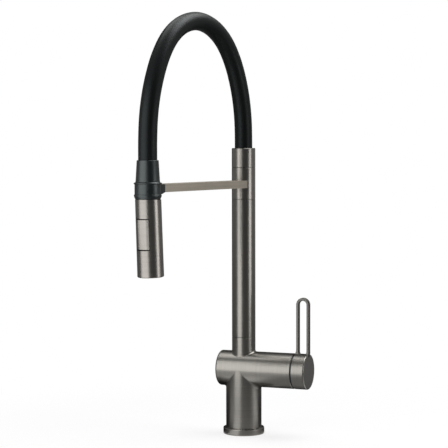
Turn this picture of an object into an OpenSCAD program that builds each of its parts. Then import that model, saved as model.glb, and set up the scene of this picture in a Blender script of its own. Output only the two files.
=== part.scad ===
// Flexible kitchen faucet: a riser with a magnetic holder arm, a soft hose arch and a spray head.
// Frame: origin on the deck under the column, +Z up, +X along the valve barrel to the lever,
// -Y to the person at the sink. Millimetres.

/* [Base] */
// Outer diameter of the base ring
flange_d = 52.5; // [51:0.5:60]
// Height of the base ring
flange_h = 8.5; // [7:0.5:12]
// Radius on the base ring's upper edge
flange_edge_r = 1.5; // [0.5:0.25:2.5]
// Thickness of the floor of the base ring, which the column stands on
flange_floor_h = 3; // [2:0.5:4]
// Diameter of the column
column_d = 45.4; // [44:0.1:48]
// Bore of the column
column_bore_d = 38; // [36:0.5:39]

/* [Valve barrel] */
// Diameter of the horizontal barrel
barrel_d = 45; // [44:0.5:50]
// Height of the barrel's axis above the deck
barrel_z = 83; // [80:1:100]
// Reach of the closed end, from the column's axis
barrel_closed = 31.1; // [28:0.1:40]
// Reach of the open end, from the column's axis
barrel_open = 69.5; // [68:0.5:80]
// Radius on the barrel's closed end
barrel_edge_r = 2.5; // [1:0.25:4]

/* [Cartridge] */
// Diameter of the cartridge
cartridge_d = 35; // [33:0.5:36]
// Clearance between the cartridge and the barrel's bore, on the radius
cartridge_gap = 0.25; // [0.15:0.05:0.4]
// Depth of the cartridge seat, from the barrel's open end
seat_depth = 47.5; // [46:0.5:50]
// Length of the cartridge housing
housing_len = 22; // [21:0.5:24]
// Thickness of each ceramic disc
disc_t = 4; // [3.5:0.25:4.5]
// Diameter of the cartridge's stem
stem_d = 12; // [11:0.5:13]

/* [Lever] */
// Gap between the barrel and the lever's drum
lever_gap = 1.8; // [1:0.1:3]
// Length of the lever's drum
drum_len = 16.8; // [14:0.1:20]
// Radius on the drum's outer edge
drum_edge_r = 1.6; // [0.5:0.1:2.5]
// Height of the loop above the barrel's axis
loop_reach = 93.5; // [80:0.5:110]
// Width of the loop over both legs
loop_w = 17.4; // [16:0.1:18]
// Thickness of the loop's bar, in the loop's plane
loop_bar_t = 3.7; // [3:0.1:4.5]
// Width of the loop's bar, across the loop's plane
loop_bar_w = 5.6; // [4:0.1:7]

/* [Riser] */
// Diameter of the riser, the neck, the arm's collar and the top ferrule
riser_d = 30; // [29:0.5:32]
// Wall of the riser tube
riser_wall = 1.5; // [1:0.1:2]
// Height of the neck's top face above the deck
neck_z = 124; // [120:1:135]
// Bore of the neck
neck_bore_d = 23; // [21:0.5:23.5]
// Thickness of the swivel washer in the neck's seam
swivel_t = 0.4; // [0.3:0.1:1]
// Height of the riser tube's top above the deck
riser_top_z = 300; // [280:1:330]
// Height of the arm's collar
collar_h = 40.5; // [36:0.5:46]
// Height of the top ferrule
ferrule_h = 24.5; // [22:0.5:30]
// Depth of the fine grooves at the seams
seam_cut = 0.35; // [0.2:0.05:0.5]

/* [Holder arm] */
// Turn of the arm away from -Y, toward -X
arm_turn = 10; // [0:1:30]
// Reach from the riser's axis to the spray head's axis
reach = 215; // [200:1:240]
// Width of the flat arm
arm_w = 23; // [18:0.5:24]
// Height of the flat arm
arm_h = 9.4; // [7.5:0.1:10]
// Height of the arm's middle above the collar's foot
arm_rise = 19.2; // [16:0.2:24]
// Length of the black dock block in front of the arm's end, at the middle
block_len = 3.4; // [3:0.1:5]

/* [Hose] */
// Outer diameter of the hose
hose_d = 22.3; // [21.5:0.1:22.8]
// Bore of the hose
hose_bore_d = 10.4; // [10:0.1:12]
// Length of the hose hidden in the top ferrule
hose_tuck = 13; // [10:0.5:15]

/* [Spray head] */
// Lean of the steel spray body against its swivel axis
head_lean = 3; // [0:0.5:4]
// Diameter of the black cone at its top
cone_top_d = 25.7; // [25.2:0.1:27]
// Diameter of the black cone at its foot
cone_foot_d = 28.6; // [28.2:0.1:30]
// Height of the black cone
cone_h = 26; // [24:0.5:30]
// Diameter of the dock collar's band
band_d = 30.9; // [30.5:0.1:32]
// Diameter of the dock collar's upper ring
upper_ring_d = 33; // [32.5:0.1:35]
// Diameter of the dock collar's lower ring
lower_ring_d = 32.4; // [32:0.1:34]
// Diameter of the dock collar's foot
collar_foot_d = 29.6; // [29:0.1:30.5]
// Diameter of the steel spray body at its top
shell_top_d = 30.5; // [30.2:0.1:31]
// Diameter of the steel spray body at its foot
shell_foot_d = 31.3; // [31:0.1:33]
// Wall of the steel spray body
shell_wall = 1.2; // [1:0.1:1.4]
// Length of the steel spray body
shell_len = 90.6; // [86:0.2:110]
// Radius on the spray body's foot
shell_edge_r = 0.7; // [0.4:0.1:1.2]

/* [Rocker button] */
// Width of the button
button_w = 17.2; // [14:0.2:18]
// Height of the button
button_h = 35; // [30:0.5:40]
// Width of the button's flat face
button_flat_w = 11.6; // [9:0.2:13]
// Slope of the bevels beside the flat face
button_bevel = 22; // [15:1:30]
// Gap above and below the button
button_gap = 1.2; // [0.8:0.1:2]
// Distance from the spray body's top to the button's middle
button_drop = 40; // [36:0.5:50]
// Diameter of the rocker's pin
rocker_pin_d = 2.5; // [2:0.1:3]
// Turn of the rocker to each side
rocker_travel = 4; // [2:0.5:5]

/* [Hidden] */
$fn = 96;
eps = 0.01;
// Running clearance of a shaft in its bore, and of a ring of rubber in its seat, on the radius
run_gap = 0.05;
// Clearance between screwed or pushed parts of one body, on the radius
seat_gap = 0.02;

steel = [0.46, 0.44, 0.41];
black = [0.09, 0.10, 0.10];
brass = [0.78, 0.62, 0.30];
rubber = [0.05, 0.05, 0.05];
ceramic = [0.93, 0.92, 0.88];
plastic = [0.75, 0.75, 0.72];

// Base ring's foot, and the gasket under it
flange_foot_r = 0.6;
gasket_w = 2.8;
gasket_h = 1.4;
gasket_play = 0.2;
gasket_r = column_bore_d / 2 + 4.4;

// Column, inlet block and its ports
block_top_z = 50;
block_h = 20;
port_x = 8;
port_y = 8.5;
port_r = 4.5;
port_depth = 12;
feed_r = 3.25;
inlet_seal_w = 2.3;
inlet_seal_h = 1.6;
stud_x = -11;
stud_r = 3.4;
stud_depth = 15;
// Waterways in the body: two feeds below the barrel's axis and one outlet above it
feed_drop = 5;
outlet_rise = 9;

// Valve barrel
bore_r = cartridge_d / 2 + cartridge_gap;
seat_x = barrel_open - seat_depth;
base_t = 4;
seal_t = 1;
seal_w = 1.2;
base_x = seat_x + seal_t;
housing_x = base_x + base_t;
housing_r = cartridge_d / 2;
housing_wall = 2.5;
lid_t = 4;
nut_len = 8;
nut_x = housing_x + housing_len;
nut_bore_r = housing_r - 3.5;
ring_r = barrel_d / 2 - 1.25;
ring_t = lever_gap - 0.2;
ring_spigot_len = 6;
ring_bore_r = housing_r - 3;
disc_r = housing_r - housing_wall - 0.6;
disc_x = housing_x;
moving_x = disc_x + disc_t + run_gap;
carrier_x = moving_x + disc_t;
carrier_t = 5;
stem_r = stem_d / 2;
spline_r = stem_r - 1.2;
drum_x = barrel_open + lever_gap;
drum_end_x = drum_x + drum_len;
drum_recess = 4;
drum_wall = 3;
spline_depth = drum_len - 6;
lever_screw_r = 2.5;
lever_screw_len = 8;
lever_screw_x = drum_x + drum_len / 2 - 0.5;

// Loop lever: its outer leg is let into the drum's face, its inner leg stands near the gap
loop_inset = 0.8;
loop_pitch = loop_w - loop_bar_t;
loop_out_x = drum_end_x - loop_inset;
loop_in_x = loop_out_x - loop_pitch;
loop_bend_z = barrel_z + loop_reach - loop_w / 2;
loop_foot_z = barrel_z + barrel_d / 2 - 2.5;
loop_round_r = 1.1;

// Riser
riser_r = riser_d / 2;
riser_foot_z = neck_z + swivel_t;
swivel_cut = 0.2;
tail_r = neck_bore_d / 2 - run_gap;
tail_foot_z = barrel_z + 15;
tail_bore_r = 6.5;
seal_groove_z = [tail_foot_z + 4, tail_foot_z + 9];
seal_groove_h = 2.6;
seal_cord_r = 1.2;
lock_groove_z = neck_z - 9;
lock_groove_h = 4.4;
lock_groove_r = tail_r - 2.5;
neck_screw_r = 2;
spigot_in_tube = 20;
collar_top_z = riser_top_z + collar_h;
ferrule_top_z = collar_top_z + ferrule_h;
plug_neck_r = 11;
plug_tail = 15;
plug_bore_r = 6.5;
hose_start_z = ferrule_top_z - hose_tuck;

// Hose nipples
nipple_r = hose_bore_d / 2 - 0.3;
nipple_bore_r = 3.2;
nipple_grip = 14;
nipple_stem_r = plug_bore_r - seat_gap;
nipple_stem_len = 10;
nipple_flange_t = 2;
nipple_seal_drop = 7;
nipple_groove_h = 2;
nipple_cord_r = 0.8;
barb_h = 3;
barb_pitch = 4;
barb_out = 0.5;

// Spray head, along its swivel axis, and the riser that its heights and the route are drawn for
drawn_top_z = 300;
drawn_reach = 215;
lift = riser_top_z - drawn_top_z;
cone_foot_z = 326;
cone_top_z = cone_foot_z + cone_h;
upper_ring_t = 1.8;
upper_ring_z = cone_foot_z - upper_ring_t;
lower_ring_z = 312.2;
lower_ring_t = 3;
collar_foot_z = 306.8;
shell_top_z = collar_foot_z - 0.4;
lean_z = 318;
hose_bore_r = hose_d / 2 + 0.3;
cone_cavity_r = 12.2;
cone_shoulder_z = 338.3;
flange_r = 12;
end_flange_z = 335;
end_flange_t = 3;
hose_end_z = end_flange_z + end_flange_t;
swivel_r = 6;
swivel_foot_z = 322;
swivel_seal_rise = 4.1;
swivel_groove_h = 2.2;
swivel_cord_r = 0.9;
socket_r = cone_cavity_r - 0.1;
flange_play = 0.3;
keeper_t = 1.5;
keeper_r = band_d / 2 - 1.5;
keeper_foot_z = 311;

// Arm
arm_z = riser_top_z + arm_rise;
block_face_r = band_d / 2 + 0.35;
arm_end = reach - block_face_r - block_len;
tenon_r = 3.5;
block_lip = 2.1;
tongue_w = 14;
tongue_h = 4;
tongue_len = 9;
magnet_w = 12;
magnet_h = 3;
magnet_len = 5;
magnet_inset = 0.6;
magnet_x = arm_end + block_len - magnet_inset - magnet_len;
dock_screw_x = arm_end - 5.5;
dock_screw_r = 1.5;

// Spray body, in its own leaning frame: z = 0 at its top face, down along its axis
core_r = shell_top_d / 2 - shell_wall - 0.25;
core_len = shell_len - 7;
window_side_gap = 0.35;
window_w = button_w + 2 * window_side_gap;
window_h = button_h + 2 * button_gap;
pin_out = 7;
button_t = 3.4;
button_rise = 0.6;
// Button's section: where its flat face, its side edges and its back lie, out from the axis
button_face = shell_top_d / 2 * cos(asin(button_flat_w / shell_top_d)) + button_rise;
button_edge = button_face - (button_w - button_flat_w) / 2 * tan(button_bevel);
button_back = button_edge - button_t;
// The room behind the button lets its ends dip as it rocks
button_room = button_back - button_h / 2 * sin(rocker_travel) - 0.4;
hub_w = 8;
hub_wall = 1.8;
slot_h = 10;
spool_r = 3;
spool_x = -5;
spool_len = 22;
spool_seal_z = [-8, 6];
spool_seal_r = 0.6;
nose_r = 1.3;
nose_in = pin_out - spool_x;
plate_t = 4;
plate_z = 1.6 - shell_len;
core_seal_h = shell_len - core_len - 1.6 - plate_t;
nozzle_rings = [[8, 8.2], [14, 11.4]];
nozzle_r = 0.6;
former_r = 5.5;

// Route of the hose's middle in the arm's plane: distance out from the riser's axis, height.
// It leaves the ferrule and enters the cone straight up and down.
route = [[0, 352], [0, 364], [0, 376], [1, 399], [5, 423], [13, 448], [26, 473.3], [46, 496.8],
  [74, 513.2], [107, 519.4], [140.2, 513.2], [167.6, 497], [187.4, 473.5], [200.4, 448],
  [208.8, 423], [213.3, 399], [214.8, 376], [215, 364], [215, 351], [215, 338]];
hose_sides = 12;
hose_steps = 2;

// Frames. The head's heights are drawn for one riser, and rise with it as the arm does
module in_arm() rotate([0, 0, -arm_turn - 90]) children();
module at_head() in_arm() translate([reach, 0, lift]) children();
// Leaning frame of the spray body: +X stays out along the arm, z = 0 at the body's top face
module lean_frame() at_head() translate([0, 0, lean_z]) rotate([0, head_lean, 0])
  translate([0, 0, shell_top_z - lean_z]) children();
module along_x(x) translate([x, 0, barrel_z]) rotate([0, 90, 0]) children();

// A ring with a square section, standing on z = 0
module ring(r_out, r_in, h) {
  difference() {
    cylinder(r = r_out, h = h);
    translate([0, 0, -1]) cylinder(r = r_in, h = h + 2);
  }
}

// A round rubber ring whose outside touches radius r
module rubber_ring(r, cord_r) {
  rotate_extrude() translate([r - cord_r, 0]) circle(r = cord_r, $fn = 32);
}

// Outline of a tube wall with fine chamfers at both ends, for a full turn about Z
module seam_tube(r_out, r_in, z0, z1, cut0, cut1) {
  rotate_extrude() polygon([[r_in, z0], [r_out - cut0, z0], [r_out, z0 + cut0],
    [r_out, z1 - cut1], [r_out - cut1, z1], [r_in, z1]]);
}

module base_flange() {
  e = flange_edge_r;
  foot = flange_foot_r;
  color(steel) rotate_extrude() difference() {
    union() {
      polygon([[0, 0], [flange_d / 2 - foot, 0], [flange_d / 2, foot], [flange_d / 2, flange_h - e],
        [flange_d / 2 - e, flange_h], [0, flange_h]]);
      translate([flange_d / 2 - e, flange_h - e]) circle(r = e, $fn = 48);
      translate([flange_d / 2 - foot, foot]) circle(r = foot, $fn = 32);
    }
    translate([-1, -1]) square([column_bore_d / 2 + 1, flange_h + 2]);
    translate([-1, flange_floor_h]) square([column_d / 2 + seat_gap + 1, flange_h]);
    translate([gasket_r - gasket_w - gasket_play, -1])
      square([gasket_w + 2 * gasket_play, gasket_h + 1]);
  }
}

module deck_gasket() {
  color(rubber) ring(gasket_r, gasket_r - gasket_w, gasket_h);
}

// The body is one casting: column, barrel and neck, with the cartridge's chamber bored in
module faucet_body() {
  e = barrel_edge_r;
  closed_r = barrel_d / 2;
  color(steel) difference() {
    union() {
      translate([0, 0, flange_floor_h]) cylinder(r = column_d / 2, h = barrel_z - flange_floor_h);
      along_x(-barrel_closed) rotate_extrude() {
        square([closed_r - e, e]);
        translate([closed_r - e, e]) intersection() {
          circle(r = e, $fn = 64);
          translate([0, -e]) square(e);
        }
        translate([0, e]) square([closed_r, barrel_closed + barrel_open - e - seam_cut]);
        translate([0, barrel_closed + barrel_open - seam_cut])
          polygon([[0, 0], [closed_r, 0], [closed_r - seam_cut, seam_cut], [0, seam_cut]]);
      }
      translate([0, 0, barrel_z]) cylinder(r = riser_r, h = neck_z - barrel_z - swivel_cut);
      translate([0, 0, neck_z - swivel_cut])
        cylinder(r1 = riser_r, r2 = riser_r - swivel_cut, h = swivel_cut);
    }
    translate([0, 0, flange_floor_h - 1])
      cylinder(r = column_bore_d / 2, h = block_top_z - flange_floor_h + 1);
    for (s = [-1, 1]) {
      translate([port_x, s * port_y, block_top_z - 1])
        cylinder(r = feed_r, h = barrel_z - feed_drop + feed_r - block_top_z + 1);
      translate([port_x, s * port_y, barrel_z - feed_drop]) rotate([0, 90, 0])
        cylinder(r = feed_r, h = seat_x - port_x + 1);
    }
    translate([0, 0, barrel_z + outlet_rise]) rotate([0, 90, 0])
      cylinder(r = feed_r, h = seat_x + 1);
    translate([0, 0, barrel_z + outlet_rise]) sphere(r = feed_r);
    translate([0, 0, barrel_z + outlet_rise]) cylinder(r = feed_r, h = 10);
    translate([0, 0, tail_foot_z - 1]) cylinder(r = neck_bore_d / 2, h = neck_z - tail_foot_z + 2);
    along_x(seat_x) cylinder(r = bore_r, h = barrel_open - seat_x + 1);
    translate([0, 0, lock_groove_z]) rotate([-90, 0, 0])
      cylinder(r = neck_screw_r + seat_gap, h = riser_d);
  }
}

// Brass block with the stud's thread and the two hose threads, all open downward
module inlet_block() {
  z0 = block_top_z - block_h;
  color(brass) difference() {
    translate([0, 0, z0]) cylinder(r = column_bore_d / 2 - seat_gap, h = block_h);
    for (s = [-1, 1]) translate([port_x, s * port_y, z0 - 1]) {
      cylinder(r = port_r, h = port_depth + 1);
      cylinder(r = feed_r, h = block_h + 2);
    }
    for (s = [-1, 1]) translate([port_x, s * port_y, block_top_z - inlet_seal_h])
      cylinder(r = feed_r + inlet_seal_w + 0.1, h = inlet_seal_h + 1);
    translate([stud_x, 0, z0 - 1]) cylinder(r = stud_r, h = stud_depth + 1);
  }
}

module inlet_seals() {
  color(rubber) for (s = [-1, 1]) translate([port_x, s * port_y, block_top_z - inlet_seal_h])
    ring(feed_r + inlet_seal_w, feed_r, inlet_seal_h);
}

// Three water passages through the cartridge's base and the fixed disc
module cartridge_ports(len) {
  for (s = [-1, 1]) translate([feed_drop, s * port_y, -1]) cylinder(r = feed_r, h = len + 2);
  translate([-outlet_rise, 0, -1]) cylinder(r = feed_r, h = len + 2);
}

module cartridge_seals() {
  color(rubber) along_x(seat_x) {
    for (s = [-1, 1]) translate([feed_drop, s * port_y, 0]) ring(feed_r + seal_w, feed_r, seal_t);
    translate([-outlet_rise, 0, 0]) ring(feed_r + seal_w, feed_r, seal_t);
  }
}

module cartridge_base() {
  color(plastic) along_x(base_x) difference() {
    cylinder(r = housing_r, h = base_t);
    cartridge_ports(base_t);
  }
}

module fixed_disc() {
  color(ceramic) along_x(disc_x) difference() {
    cylinder(r = disc_r, h = disc_t);
    cartridge_ports(disc_t);
  }
}

module cartridge_housing() {
  color(plastic) along_x(housing_x) difference() {
    cylinder(r = housing_r, h = housing_len);
    translate([0, 0, -1]) cylinder(r = housing_r - housing_wall, h = housing_len - lid_t + 1);
    cylinder(r = stem_r + run_gap, h = housing_len + 1);
  }
}

module cartridge_nut() {
  hex_r = nut_bore_r + 1.5;
  color(brass) along_x(nut_x) difference() {
    cylinder(r = bore_r - seat_gap, h = nut_len);
    translate([0, 0, -1]) cylinder(r = nut_bore_r, h = nut_len + 2);
    translate([0, 0, nut_len - 4]) cylinder(r = hex_r, h = 5, $fn = 12);
  }
}

// Dark ring that fills the gap between barrel and drum, with a spigot in the barrel's bore
module slide_ring() {
  color(black) along_x(barrel_open) {
    ring(ring_r, ring_bore_r, ring_t);
    translate([0, 0, -ring_spigot_len]) ring(bore_r - seat_gap, ring_bore_r, ring_spigot_len + eps);
  }
}

module moving_disc() {
  color(ceramic) along_x(moving_x) difference() {
    cylinder(r = disc_r - 0.5, h = disc_t);
    translate([-2, 0, -1]) cylinder(r = 8.5, h = 2.5);
  }
}

module cartridge_stem() {
  shaft_len = drum_x - carrier_x - carrier_t + 1;
  color(plastic) along_x(carrier_x) {
    cylinder(r = disc_r - 0.5, h = carrier_t);
    cylinder(r = stem_r, h = carrier_t + shaft_len);
    translate([0, 0, carrier_t + shaft_len - eps]) cylinder(r = spline_r, h = spline_depth);
  }
}

// Drum of the lever, with its hub, its recess and the grub screw's hole underneath
module lever_drum() {
  r = barrel_d / 2;
  e = drum_edge_r;
  color(steel) difference() {
    along_x(drum_x) rotate_extrude() {
      polygon([[0, 0], [r - seam_cut, 0], [r, seam_cut], [r, drum_len - e], [0, drum_len - e]]);
      translate([0, drum_len - e - eps]) square([r - e, e + eps]);
      translate([r - e, drum_len - e]) intersection() {
        circle(r = e, $fn = 64);
        square(e);
      }
    }
    along_x(drum_x - 1) ring(r - drum_wall, stem_r + 4, drum_recess + 1);
    along_x(drum_x - 1) cylinder(r = stem_r + 0.5, h = 3);
    along_x(drum_x) cylinder(r = spline_r + seat_gap, h = spline_depth + 2);
    translate([lever_screw_x, 0, barrel_z]) rotate([180, 0, 0])
      cylinder(r = lever_screw_r + seat_gap, h = barrel_d);
    loop_legs(seat_gap);
  }
}

module lever_screw() {
  color(black) translate([lever_screw_x, 0, barrel_z - spline_r - seat_gap]) rotate([180, 0, 0])
    difference() {
      cylinder(r = lever_screw_r, h = lever_screw_len);
      translate([0, 0, lever_screw_len - 3]) cylinder(r = 1.44, h = 4, $fn = 6);
    }
}

// Round-cornered section of the loop's bar: t in the loop's plane, w across it
module bar_section(t, w) {
  r = loop_round_r;
  square([t - 2 * r, w], center = true);
  square([t, w - 2 * r], center = true);
  for (x = [-1, 1]) for (y = [-1, 1]) translate([x * (t / 2 - r), y * (w / 2 - r)])
    circle(r = r, $fn = 32);
}

// Both legs, grown by a gap where the drum is cut for their feet
module loop_legs(gap = 0) {
  for (x = [loop_in_x, loop_out_x]) translate([x, 0, loop_foot_z - gap])
    linear_extrude(loop_bend_z - loop_foot_z + gap)
      bar_section(loop_bar_t + 2 * gap, loop_bar_w + 2 * gap);
}

module lever_loop() {
  half = loop_bar_t / 2;
  color(steel) {
    loop_legs();
    translate([loop_out_x - loop_pitch / 2, 0, loop_bend_z]) rotate([90, 0, 0])
      rotate_extrude(angle = 180) translate([loop_pitch / 2, 0]) bar_section(loop_bar_t, loop_bar_w);
    translate([loop_out_x, loop_bar_w / 2 - loop_round_r, loop_foot_z]) rotate([90, 0, 0])
      linear_extrude(loop_bar_w - 2 * loop_round_r)
        polygon([[loop_inset, -3], [half, 1], [half, 2], [loop_inset, 2]]);
  }
}

module swivel_washer() {
  color(black) translate([0, 0, neck_z]) ring(riser_r - 0.8, neck_bore_d / 2, swivel_t);
}

// Grub screw at the back of the neck; its tip runs in the spigot's groove and holds the spout down
module neck_screw() {
  tip_y = lock_groove_r + 0.4;
  color(black) translate([0, tip_y, lock_groove_z]) rotate([-90, 0, 0]) difference() {
    cylinder(r = neck_screw_r, h = riser_r - tip_y - 0.6);
    translate([0, 0, riser_r - tip_y - 3.1]) cylinder(r = 1.15, h = 4, $fn = 6);
  }
}

module riser_spigot() {
  top_z = riser_foot_z + spigot_in_tube;
  tube_r = riser_r - riser_wall - seat_gap;
  color(brass) difference() {
    union() {
      translate([0, 0, tail_foot_z]) cylinder(r = tail_r, h = riser_foot_z - tail_foot_z + 1);
      translate([0, 0, riser_foot_z]) cylinder(r = tube_r, h = spigot_in_tube);
    }
    translate([0, 0, tail_foot_z - 1]) cylinder(r = tail_bore_r, h = top_z - tail_foot_z + 2);
    for (z = seal_groove_z) translate([0, 0, z])
      ring(tail_r + 1, tail_r - 2 * seal_cord_r, seal_groove_h);
    translate([0, 0, lock_groove_z - lock_groove_h / 2])
      ring(tail_r + 1, lock_groove_r, lock_groove_h);
  }
}

module spigot_seals() {
  color(rubber) for (z = seal_groove_z) translate([0, 0, z + seal_groove_h / 2])
    rubber_ring(tail_r, seal_cord_r);
}

module riser_tube() {
  color(steel)
    seam_tube(riser_r, riser_r - riser_wall, riser_foot_z, riser_top_z, swivel_cut, seam_cut);
}

// Plug brazed in the riser's top; its neck carries the collar and the ferrule's thread
module riser_plug() {
  tube_r = riser_r - riser_wall - seat_gap;
  color(brass) difference() {
    union() {
      translate([0, 0, riser_top_z - plug_tail]) cylinder(r = tube_r, h = plug_tail);
      translate([0, 0, riser_top_z - eps]) cylinder(r = plug_neck_r, h = hose_start_z - 2 - riser_top_z);
    }
    translate([0, 0, riser_top_z - plug_tail - 1]) cylinder(r = plug_bore_r, h = hose_start_z);
  }
}

module arm_collar() {
  color(steel) difference() {
    seam_tube(riser_r, plug_neck_r + seat_gap, riser_top_z, collar_top_z, seam_cut, seam_cut);
    in_arm() translate([0, 0, arm_z]) rotate([0, 90, 0]) cylinder(r = tenon_r + seat_gap, h = riser_d);
  }
}

// Flat bar with a round tenon in the collar and a pocket for the dock block
module holder_arm() {
  root = sqrt(riser_r * riser_r - arm_w * arm_w / 4) - 1;
  color(steel) in_arm() translate([0, 0, arm_z]) difference() {
    union() {
      difference() {
        translate([root, -arm_w / 2, -arm_h / 2]) cube([arm_end - root, arm_w, arm_h]);
        translate([0, 0, -arm_h]) cylinder(r = riser_r + seat_gap, h = 2 * arm_h);
      }
      translate([plug_neck_r + 0.1, 0, 0]) rotate([0, 90, 0]) cylinder(r = tenon_r, h = 10);
    }
    translate([arm_end - tongue_len - 0.3, -tongue_w / 2 - 0.05, -tongue_h / 2 - 0.05])
      cube([tongue_len + 1, tongue_w + 0.1, tongue_h + 0.1]);
    translate([dock_screw_x, 0, -arm_h]) cylinder(r = dock_screw_r + seat_gap, h = arm_h);
  }
}

// Black block: a tongue in the arm, a hollowed face for the collar's band, a chamfered lower lip
module dock_block() {
  front = reach - sqrt(block_face_r * block_face_r - arm_w * arm_w / 4) + 1;
  color(black) in_arm() difference() {
    union() {
      translate([arm_end, -arm_w / 2, 0]) rotate([90, 0, 0]) mirror([0, 0, 1]) linear_extrude(arm_w)
        polygon([[0, arm_z - arm_h / 2], [front - arm_end - 3, arm_z - arm_h / 2 - block_lip],
          [front - arm_end, arm_z - arm_h / 2 - block_lip], [front - arm_end, arm_z + arm_h / 2],
          [0, arm_z + arm_h / 2]]);
      translate([arm_end - tongue_len, -tongue_w / 2, arm_z - tongue_h / 2])
        cube([tongue_len + 1, tongue_w, tongue_h]);
    }
    translate([reach, 0, arm_z - 2 * arm_h]) cylinder(r = block_face_r, h = 4 * arm_h);
    translate([dock_screw_x, 0, arm_z - arm_h]) cylinder(r = dock_screw_r + seat_gap, h = arm_h);
    translate([magnet_x, -magnet_w / 2, arm_z - magnet_h / 2])
      cube([magnet_len + 2, magnet_w, magnet_h]);
  }
}

module dock_magnet() {
  color([0.7, 0.7, 0.72]) in_arm() translate([magnet_x, -magnet_w / 2, arm_z - magnet_h / 2])
    cube([magnet_len, magnet_w, magnet_h]);
}

module dock_screw() {
  sunk = 0.4;
  color(black) in_arm() translate([dock_screw_x, 0, arm_z - arm_h / 2 + sunk]) difference() {
    cylinder(r = dock_screw_r, h = arm_h / 2 - 2 * sunk);
    translate([0, 0, -1]) cylinder(r = 0.9, h = 2.4, $fn = 6);
  }
}

module top_ferrule() {
  thread_top = hose_start_z - 2;
  color(steel) difference() {
    seam_tube(riser_r, plug_neck_r + seat_gap, collar_top_z, ferrule_top_z, seam_cut, 0.8);
    translate([0, 0, thread_top]) cylinder(r = hose_bore_r, h = ferrule_h);
  }
}

// Three barbs that hold the hose on a nipple, their steep sides toward the flange
module barbs(z) {
  for (k = [0:2]) translate([0, 0, z + barb_pitch * k])
    cylinder(r1 = nipple_r, r2 = nipple_r - barb_out, h = barb_h);
}

// Nipple in the plug's bore; the hose is pushed over its barbs and stands on its flange
module hose_nipple() {
  z0 = hose_start_z;
  color(brass) difference() {
    union() {
      translate([0, 0, z0 - nipple_flange_t]) cylinder(r = plug_neck_r - 0.5, h = nipple_flange_t);
      translate([0, 0, z0 - nipple_flange_t - nipple_stem_len])
        cylinder(r = nipple_stem_r, h = nipple_stem_len + 1);
      translate([0, 0, z0 - eps]) cylinder(r = nipple_r - barb_out, h = nipple_grip);
      barbs(z0 + 3);
    }
    translate([0, 0, z0 - 4 - nipple_stem_len])
      cylinder(r = nipple_bore_r, h = nipple_stem_len + nipple_grip + 6);
    translate([0, 0, z0 - nipple_seal_drop - nipple_groove_h / 2])
      ring(nipple_stem_r + 1, nipple_stem_r - 2 * nipple_cord_r, nipple_groove_h);
  }
}

module nipple_seal() {
  color(rubber) translate([0, 0, hose_start_z - nipple_seal_drop])
    rubber_ring(nipple_stem_r, nipple_cord_r);
}

// Hose: a ring of points square to the route at every step, an outer skin and a bore
function mid(i) = let (p = route[max(0, min(len(route) - 1, i))])
  [p[0] * reach / drawn_reach, p[1] + lift];
function route_at(i, t) = let (a = mid(i - 1), b = mid(i), c = mid(i + 1), d = mid(i + 2))
  0.5 * (2 * b + (c - a) * t + (2 * a - 5 * b + 4 * c - d) * t * t
    + (3 * b - a - 3 * c + d) * t * t * t);
last_span = len(route) - 2;
path = concat([for (i = [0:last_span]) for (k = [0:hose_steps - 1]) route_at(i, k / hose_steps)],
  [route[last_span + 1]]);
rings = len(path);
function unit(v) = v / norm(v);
function heading(i) = i == 0 || i == rings - 1 ? [0, i == 0 ? 1 : -1]
  : unit(path[i + 1] - path[i - 1]);
// Point of a ring: across the route in the arm's plane, and sideways out of it
function ring_point(i, a, r) = let (h = heading(i), p = path[i])
  [p[0] - h[1] * r * cos(a), r * sin(a), p[1] + h[0] * r * cos(a)];
function ring_points(r) = [for (i = [0:rings - 1]) for (k = [0:hose_sides - 1])
  ring_point(i, 360 * k / hose_sides, r)];
function skin(first, flip) = [for (i = [0:rings - 2]) for (k = [0:hose_sides - 1])
  let (a = first + i * hose_sides + k, b = first + i * hose_sides + (k + 1) % hose_sides,
    c = a + hose_sides, d = b + hose_sides)
  for (f = flip ? [[a, b, d], [a, d, c]] : [[a, d, b], [a, c, d]]) f];
function cap(o, n, flip) = [for (k = [0:hose_sides - 1])
  let (a = o + k, b = o + (k + 1) % hose_sides, c = n + k, d = n + (k + 1) % hose_sides)
  for (f = flip ? [[a, d, b], [a, c, d]] : [[a, b, d], [a, d, c]]) f];

module hose() {
  bore_first = rings * hose_sides;
  last_ring = (rings - 1) * hose_sides;
  color(black) in_arm() polyhedron(
    points = concat(ring_points(hose_d / 2), ring_points(hose_bore_d / 2)),
    faces = concat(skin(0, false), skin(bore_first, true), cap(0, bore_first, false),
      cap(last_ring, bore_first + last_ring, true)));
}

// Fitting at the hose's end; the whole spray head turns on its stem
module hose_end_fitting() {
  color(brass) at_head() difference() {
    union() {
      translate([0, 0, end_flange_z]) cylinder(r = flange_r, h = end_flange_t);
      translate([0, 0, swivel_foot_z]) cylinder(r = swivel_r, h = end_flange_z - swivel_foot_z + 1);
      translate([0, 0, hose_end_z - eps]) cylinder(r = nipple_r - barb_out, h = nipple_grip);
      barbs(hose_end_z + 1);
    }
    translate([0, 0, swivel_foot_z - 1])
      cylinder(r = nipple_bore_r, h = hose_end_z + nipple_grip - swivel_foot_z + 2);
    translate([0, 0, swivel_foot_z + swivel_seal_rise - swivel_groove_h / 2])
      ring(swivel_r + 1, swivel_r - 2 * swivel_cord_r, swivel_groove_h);
  }
}

module hose_end_seal() {
  color(rubber) at_head() translate([0, 0, swivel_foot_z + swivel_seal_rise])
    rubber_ring(swivel_r, swivel_cord_r);
}

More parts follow.
